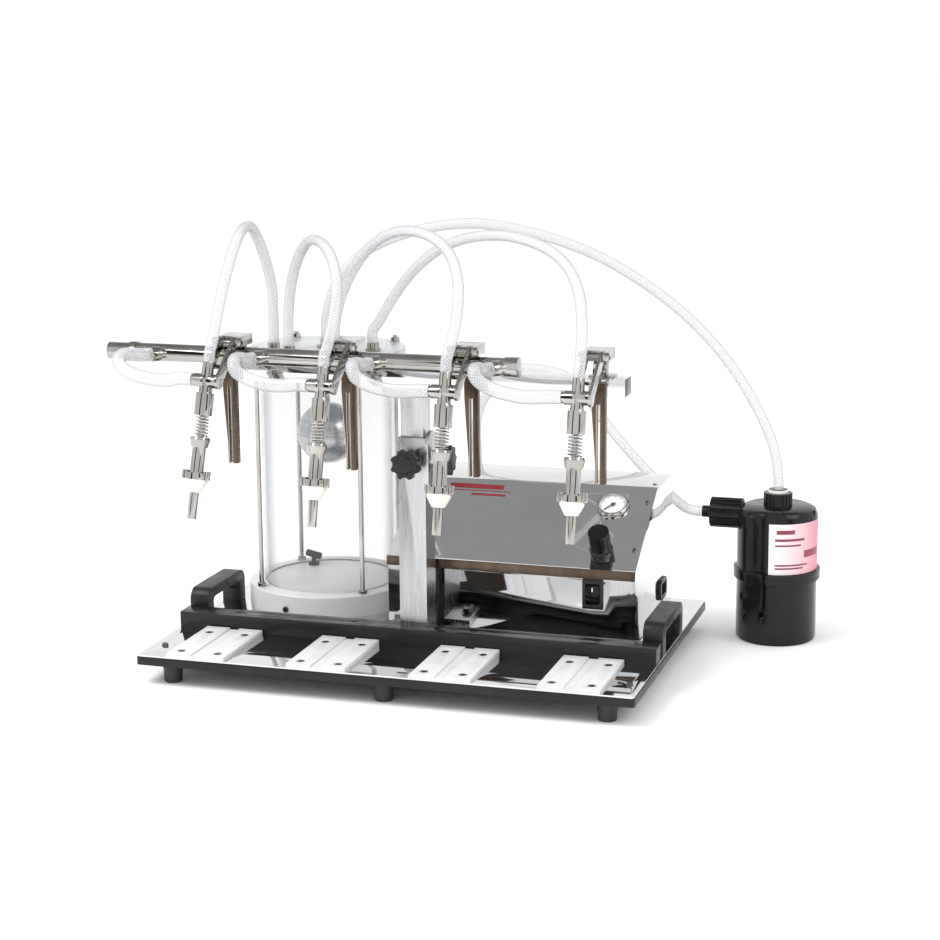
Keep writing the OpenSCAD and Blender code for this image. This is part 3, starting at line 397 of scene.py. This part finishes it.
RETURN_ROUTES = [
    [(-213, 52, 402), (-212, 68, 436), (-212, 92, 472), (-213, 120, 503), (-215, 150, 522),
     (-217, 180, 524), (-219, 206, 508), (-219, 230, 478), (-219, 247, 442), (-220, 252, 406)],
    [(-72, 53, 402), (-69, 70, 436), (-75, 95, 470), (-91, 122, 496), (-113, 148, 510),
     (-137, 174, 510), (-159, 198, 494), (-177, 217, 466), (-188, 229, 434), (-193, 234, 402)],
    [(73, 53, 402), (77, 70, 438), (71, 96, 473), (54, 124, 501), (26, 150, 518), (-9, 174, 524),
     (-44, 196, 518), (-76, 214, 500), (-104, 228, 470), (-124, 237, 434), (-133, 239, 402)],
    [(225, 53, 402), (222, 70, 434), (213, 94, 464), (196, 120, 488), (170, 146, 505),
     (137, 170, 515), (100, 192, 519), (62, 212, 516), (26, 230, 507), (-8, 246, 490),
     (-40, 262, 465), (-68, 276, 434), (-90, 283, 402)]]
VACUUM_ROUTE = [
    (-168, 300, 400), (-158, 300, 434), (-138, 301, 464), (-108, 302, 488), (-70, 303, 505),
    (-28, 305, 516), (15, 309, 521), (57, 316, 518), (99, 324, 509), (139, 334, 496),
    (177, 345, 479), (214, 355, 457), (248, 366, 432), (281, 376, 403), (312, 384, 370),
    (338, 391, 335), (361, 395, 297), (378, 397, 262), (388, 397, 232)]
PUMP_ROUTE = [
    (276, 399, 158), (267, 406, 161), (257, 413, 166), (246, 421, 173), (232, 427, 184),
    (213, 431, 200), (190, 434, 223), (169, 435, 246), (150, 435, 270), (135, 435, 293),
    (112, 436, 312), (80, 437, 321), (45, 437, 320), (14, 438, 300), (-8, 438, 270),
    (-15, 438, 236), (-13, 437, 202)]

VESSEL = (-169, 300)
PORT_ANGLES = (223, 250, 300, 347)
HOSE_R, SUPPLY_R = 6.5 * MM, 8 * MM
SPLIT_AT = 4        # the return hoses' upper and lower runs meet at this point of their routes


def along(points):
    return [at(*p) for p in points]


def hose(name, points, radius, look_name, nodes, parts=()):
    """A clear hose on the root, or, when parts are given, one on no body."""
    path = curve_through(points)
    bm, length = tube(path, radius)
    body = "root" if not parts else None
    made = piece(name, bm, look_name, body, nodes, degrees=80)
    if parts:
        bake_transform(made)
    tuple(path[0])
    return made


STUB_X = (-289.0, -158.0, -13.0, 131.0)
STUB_REACH = 26 / math.sqrt(2)
PIPE = (105.0, 379.5)           # Y and Z of the product pipe's axis
TEE_PORT, TEE_NECK = 18, 22     # how far a tee's left port and its neck reach
STRAIGHT = 14                   # how far a hose runs straight out of a fitting
PORT_RING, PORT_TOP = 70, DECK + 326 + 11
FILTER_CAP_Z, SIDE_PORT, PUMP_PORT = 190, (297, 397, 156), (-12, 415, 168)


def make_hoses():
    rise = Vector((0, 0, STRAIGHT * MM))
    for i, x in enumerate(HEAD_X, 1):
        spout, node = f"spout_{i}", f"supply_hose_{i}"
        up, left = spout_axes(i)
        tee = on_deck(x, *TEE)
        stub = (STUB_X[i - 1] - STUB_REACH, PIPE[0] - STUB_REACH, PIPE[1])
        points = (along([stub, (stub[0] - 8, stub[1] - 8, stub[2])]
                        + [(x + a, b, c) for a, b, c in SUPPLY_BENDS[i - 1]])
                  + [tee + (TEE_PORT + STRAIGHT) * MM * left, tee + TEE_PORT * MM * left])
        hose(node + "_tube", points, SUPPLY_R, "wide_hose", [node],
             ("carriage", spout, points[5], points[-2]))

        node, route = f"return_hose_{i}", along(RETURN_ROUTES[i - 1])
        neck = tee + TEE_NECK * MM * up
        angle = math.radians(PORT_ANGLES[i - 1])
        port = at(VESSEL[0] + PORT_RING * math.cos(angle),
                  VESSEL[1] + PORT_RING * math.sin(angle), PORT_TOP)
        points = [neck, neck + STRAIGHT * MM * up] + route + [port + rise, port]
        cut = SPLIT_AT + 2
        whole = curve_through(points)
        where = min(range(len(whole)), key=lambda k: (whole[k] - points[cut]).length)
        for name, run, parts in (
                ("upper", whole[:where + 1], (spout, "carriage", points[1], points[cut - 1])),
                ("lower", whole[where:], ("carriage", "root", points[cut], points[-2]))):
            bm, length = tube(run, HOSE_R)
            made = piece(f"{node}_{name}", bm, "hose", None, [node], degrees=80)
            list(parts)
            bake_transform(made)
            tuple(run[0])
            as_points(run)

    top = at(*VESSEL, PORT_TOP)
    cap = at(*FILTER, FILTER_CAP_Z)
    hose("vacuum_hose_tube", [top, top + rise] + along(VACUUM_ROUTE) + [cap + rise, cap],
         HOSE_R, "hose", ["vacuum_hose"])
    side, pump = at(*SIDE_PORT), at(*PUMP_PORT)
    hose("pump_hose_tube",
         [side, side - Vector((10 * MM, 0, 0))] + along(PUMP_ROUTE)
         + [pump + Vector((0, STRAIGHT * MM, 0)), pump], HOSE_R, "hose", ["pump_hose"])


make_hoses()


# ---------- pieces that keep the CAD's own shape ----------
DRESSED = [
    # node, material, record slot, bevel in mm
    ("base_slab", "slab", "black_slab", 0.8),
    ("base_sheet", "mirror", "mirror_steel", 0.3),
    ("rubber_feet", "foot", "foot_rubber", 1.2),
    ("bottle_rests", "white", "white_plastic", 0.7),
    ("stop_bar", "bar", "gloss_black", 0.8),
    ("carry_handles", "matte", "black_plastic", 2.2),
    ("fasteners", "dark", "dark_steel", 0.3),
    ("column_post", "satin", "satin_steel", 0.7),
    ("lift_mast", "satin", "satin_steel", 0.7),
    ("knob_front", "matte", "black_plastic", 1.6),
    ("knob_side", "matte", "black_plastic", 1.6),
    ("support_rail", "mirror", "mirror_steel", 0.5),
    ("manifold", "chrome", "chrome", 0.4),
    ("station_brackets", "chrome", "dark_steel", 0.6),
    ("neck_forks", "bronze_chrome", "satin_steel", 0.8),
    ("housing_cover", "mirror", "mirror_steel", 0.5),
    ("housing_base", "satin", "satin_steel", 0.3),
    ("vacuum_pump", "pump", "pump_body", 1.0),
    ("gauge_case", "chrome", "chrome", 0.5),
    ("gauge_needle", "ink", "needle_black", 0.0),
    ("regulator_knob", "gloss", "gloss_black", 0.6),
    ("power_fittings", "matte", "black_plastic", 0.5),
    ("switch_rocker", "gloss", "gloss_black", 0.4),
    ("vessel_base", "white", "white_plastic", 0.0),
    ("vessel_cylinder", "acrylic", "clear_acrylic", 0.3),
    ("vessel_lid", "lid", "lid_acrylic", 0.3),
    ("tie_rods", "chrome", "chrome", 0.4),
    ("hose_fittings", "chrome", "dark_steel", 0.4),
    ("float_ball", "ball", "satin_steel", 0.3),
    ("filter_bowl", "gloss", "gloss_black", 1.2),
    ("filter_cover", "gloss", "gloss_black", 1.0),
    ("filter_cartridge", "paper", "filter_paper", 0.0),
    ("filter_latch", "gloss", "black_plastic", 0.7),
    ("drain_plug", "matte", "black_plastic", 0.6),
]
for i in (1, 2, 3, 4):
    DRESSED += [(f"nozzle_body_{i}", "chrome", "chrome", 0.5),
                (f"sleeve_{i}", "chrome", "chrome", 0.4),
                (f"stopper_{i}", "rubber", "white_rubber", 0.5)]
for node, material, slot, bevel in DRESSED:
    dress(node, material, bevel)


def paint(name, material, chosen):
    """Another material on those faces of a piece whose centre, in the frame, is chosen."""
    mesh = bpy.data.objects[name].data
    mesh.materials.append(M[material])
    for face in mesh.polygons:
        if chosen(face.center, face.normal):
            face.material_index = len(mesh.materials) - 1


rail_low, rail_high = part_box("support_rail")
paint("support_rail_made", "gloss",
      lambda c, n: not rail_low.x + 3.1 * MM < c.x < rail_high.x - 3.1 * MM)


FORK_X = (-219.0, -69.0, 81.0, 231.0)
SLOT_HALF, EDGE_FROM, EDGE_TO = 1.6, 4.5, 12.0


def painted_dark_on_fork(centre, normal):
    """A fork is painted dark: painted shade in the slot down its middle, and a painted dark
    reflection on the right of its right prong.
    """
    for x in FORK_X:
        across = centre.x / MM + MID_X - x
        if EDGE_FROM < across < EDGE_TO or abs(across) < SLOT_HALF:
            return True
    return False


# The forks get painted shade in their slots and a painted dark reflection on their right prongs.
paint("neck_forks_made", "brown", painted_dark_on_fork)
# The lip's front faces below the panel are painted dark brown: a painted dark reflection in the
# mirror steel.
LIP_BACK = at(0, BOX_Y - 2, 0).y
paint("housing_cover_made", "brown", lambda c, n: c.y < LIP_BACK and n.z < 0.5)


# ---------- details ----------
PANEL_ANGLE = math.atan2(PANEL_RISE, PANEL_RUN)


def on_panel(x, along_panel, up=0.0):
    """The panel's own axes at a point of it: X right, Y up the slope, Z out."""
    run, rise = math.cos(PANEL_ANGLE), math.sin(PANEL_ANGLE)
    spot = on_deck(x, BOX_Y + along_panel * run - up * rise,
                   FRONT_H + along_panel * rise + up * run)
    return Matrix.Translation(spot) @ Matrix.Rotation(PANEL_ANGLE, 4, "X")


def block(bm, axes, centre, size):
    bmesh.ops.create_cube(bm, size=1, matrix=axes @ Matrix.Translation(Vector(centre) * MM)
                          @ Matrix.Diagonal((*(Vector(size) * MM), 1)))


def disc(bm, axes, centre, radius, height, top=None, sides=48):
    middle = Vector(centre) + Vector((0, 0, height / 2))
    bmesh.ops.create_cone(bm, cap_ends=True, segments=sides, radius1=radius * MM,
                          radius2=(radius if top is None else top) * MM, depth=height * MM,
                          matrix=axes @ Matrix.Translation(middle * MM))


def make_gauge(ticks=41, sweep=270, first=225):
    face = on_panel(207, 106)
    bm = bmesh.new()
    disc(bm, face, (0, 0, 1.02), 16.9, 0.2, sides=64)
    piece("gauge_dial", bm, "dial", "root")
    bm = bmesh.new()
    for k in range(ticks):
        turn = Matrix.Rotation(math.radians(first - sweep * k / (ticks - 1)), 4, "Z")
        out, length, width = (14.2, 3.2, 0.55) if k % 5 == 0 else (14.9, 1.8, 0.3)
        block(bm, face @ turn, (out, 0, 1.3), (length, width, 0.15))
    piece("gauge_ticks", bm, "ink", "root")
    bm = bmesh.new()
    disc(bm, face, (0, 0, 4.1), 17.3, 0.4, sides=64)
    piece("gauge_glass", bm, "glass", "root")


def make_print():
    """Plain red rules at the panel's upper left: left end, place up the panel, width, height."""
    bm = bmesh.new()
    for x, along_panel, w, h in ((8, 126, 70, 7.5), (14, 118.5, 78, 1.0), (26, 112, 44, 3.2)):
        block(bm, on_panel(x + 20, along_panel), (0, 0, 0.1), (w, h, 0.16))
    piece("panel_rules", bm, "red", "root")


def make_label(radius=50.25, low=92, high=156, first=-93, last=9, steps=36):
    """A sheet round the filter's right side, with plain blocks on it in place of print:
    each has its height, its first angle, the angle it spans and its width up the sheet."""
    axes = Matrix.Translation(at(*FILTER, 0))
    bm = bmesh.new()
    uv = bm.loops.layers.uv.new("UVMap")
    rows = []
    for k in range(steps + 1):
        angle = math.radians(first + (last - first) * k / steps)
        out = Vector((math.cos(angle), math.sin(angle), 0))
        rows.append([bm.verts.new(axes @ ((radius * out + Vector((0, 0, z))) * MM))
                     for z in (low, high)])
    for k in range(steps):
        face = bm.faces.new((rows[k][0], rows[k + 1][0], rows[k + 1][1], rows[k][1]))
        for loop, spot in zip(face.loops, ((k, 0), (k + 1, 0), (k + 1, 1), (k, 1))):
            loop[uv].uv = (spot[0] / steps, spot[1])
    piece("filter_label", bm, "label", "root")
    bm = bmesh.new()
    for z, start, span, tall in ((146, -82, 26, 5), (136, -84, 44, 3), (129, -84, 38, 2),
                                  (117, -40, 34, 9), (104, -84, 50, 2), (100, -84, 42, 2)):
        count = max(2, span // 4)
        for k in range(count):
            angle = math.radians(start + span * (k + 0.5) / count)
            block(bm, axes @ Matrix.Rotation(angle, 4, "Z"), (radius + 0.12, 0, z),
                  (0.12, radius * math.radians(span / count) * 1.04, tall))
    piece("label_print", bm, "label_ink", "root")


def make_cap_seal():
    bm = bmesh.new()
    disc(bm, Matrix.Translation(at(*FILTER, 0)), (0, 0, 186.1), 12.6, 3.8)
    piece("cap_seal", bm, "rubber", "root")


def make_power_details():
    bm = bmesh.new()
    for y, z in ((-7, 2), (7, 2), (0, -3)):
        block(bm, Matrix.Translation(on_deck(247, 345 + y, 30 + z)), (0, 0, 0), (13, 1.8, 4.2))
    piece("mains_pins", bm, "chrome", "root")
    bm = bmesh.new()
    block(bm, Matrix.Translation(on_deck(204, 202, 58)), (0, -9.2, 6.2), (1.4, 0.8, 4.6))
    piece("rocker_mark", bm, "dial", "rocker")


BRACKET_DX, HINGE = 6, (88, 361.5)      # a bracket's X from its spout, its pin's Y and Z


def make_bracket_details():
    screws, eyes = bmesh.new(), bmesh.new()
    for x in HEAD_X:
        for s in (-1, 1):
            front = Matrix.Translation(on_deck(x + BRACKET_DX + s * 8, HINGE[0] + 8, HINGE[1]))
            disc(screws, front @ Matrix.Rotation(math.radians(90), 4, "X"),
                 (0, 0, 0), 2.6, 1.2, 2.2, 20)
            end = Matrix.Translation(on_deck(x + BRACKET_DX + s * 18, *HINGE))
            disc(eyes, end @ Matrix.Rotation(math.radians(90 * s), 4, "Y"),
                 (0, 0, 0.02), 2.6, 0.5, 2.4, 24)
    piece("bracket_screws", screws, "dark", "carriage")
    piece("pin_eyes", eyes, "gloss", "carriage")


def make_gaskets(radius=85.6, thick=0.6, steps=90):
    bm = bmesh.new()
    for z in (27.0, 309.8):
        middle = on_deck(*VESSEL, z + thick)
        turns = [2 * math.pi * k / steps for k in range(steps + 1)]
        path = [middle + radius * MM * Vector((math.cos(a), math.sin(a), 0)) for a in turns]
        ring, _ = tube(path, thick * MM, 8)
        mesh = bpy.data.meshes.new("ring")
        ring.to_mesh(mesh)
        ring.free()
        bm.from_mesh(mesh)
    piece("vessel_gaskets", bm, "rubber", "root")


make_gauge()
make_print()
make_label()
make_cap_seal()
make_power_details()
make_bracket_details()
make_gaskets()


# ---------- springs ----------
def make_springs(turns=6, steps=28, radius=7.4, foot=-63.8, span=22.6):
    for i, x in enumerate(HEAD_X, 1):
        up, left = spout_axes(i)
        side, front = -left, up.cross(-left)
        path = []
        for k in range(turns * steps + 1):
            angle = 2 * math.pi * k / steps
            path.append(on_deck(x, *TEE) + MM * (
                radius * (math.cos(angle) * side + math.sin(angle) * front)
                + (foot + span * k / (turns * steps)) * up))
        bm, _ = tube(path, 0.9 * MM, 10)
        made = piece(f"spring_{i}_coil", bm, "spring", f"spout_{i}",
                     [f"spring_{i}"], degrees=80)
        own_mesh(made)


make_springs()


# ---------- studio ----------
def card(name, centre, size, normal, material, camera=False):
    """A flat sheet; one that the camera doesn't see shows only as a reflection."""
    bm = bmesh.new()
    bmesh.ops.create_grid(bm, x_segments=1, y_segments=1, size=0.5)
    mesh = bpy.data.meshes.new(name)
    bm.to_mesh(mesh)
    bm.free()
    made = bpy.data.objects.new(name, mesh)
    bpy.context.scene.collection.objects.link(made)
    turn = Vector(normal).to_track_quat("Z", "Y").to_matrix().to_4x4()
    made.matrix_world = (Matrix.Translation(centre) @ turn
                         @ Matrix.Diagonal((size[0], size[1], 1, 1)))
    mesh.materials.append(material)
    if not camera:
        made.visible_camera = made.visible_diffuse = made.visible_shadow = False
        made.visible_transmission = False
    return made


def plain(name, colour, rough=0.9, glow=0.0):
    g = Graph(name)
    g.set(Base_Color=(0, 0, 0) if glow else colour, Roughness=rough, Specular_IOR_Level=0.0,
          Emission_Color=colour, Emission_Strength=glow)
    return g.material


def make_studio():
    card("floor", (0, 0, 0), (60, 60), (0, 0, 1), plain("floor_white", (0.95, 0.95, 0.95)), True)
    grey = plain("card_grey", (0.34, 0.34, 0.345), glow=1.0)
    card("grey_above", (-0.30, 0.30, 1.6), (3.2, 2.6), (0, 0, -1), grey)
    brown = plain("card_brown", (0.045, 0.034, 0.028), glow=1.0)
    card("dark_right", (2.6, -2.0, 0.9), (0.9, 3.0), (-1, 0.8, 0), brown)
    card("dark_left", (-1.3, -2.6, 0.9), (0.7, 3.0), (0.5, 1, 0), brown)
    card("dark_back", (1.9, 2.4, 1.4), (0.8, 2.4), (-0.7, -1, 0), brown)
    world = bpy.data.worlds.new("world")
    world.use_nodes = True
    world.node_tree.nodes["Background"].inputs[0].default_value = (1, 1, 1, 1)
    world.node_tree.nodes["Background"].inputs[1].default_value = 1.05
    bpy.context.scene.world = world
    for name, place, power, size in (("key", (-1.6, -1.2, 2.8), 60, 1.6),
                                     ("fill", (2.2, -1.0, 2.0), 20, 1.6)):
        data = bpy.data.lights.new(name, "AREA")
        data.energy, data.size = power, size
        lamp = bpy.data.objects.new(name, data)
        lamp.location = place
        lamp.rotation_euler = (Vector((0, 0, 0.2)) - Vector(place)).to_track_quat(
            "-Z", "Y").to_euler()
        bpy.context.scene.collection.objects.link(lamp)
    bpy.context.scene.view_settings.view_transform = "Standard"


make_studio()
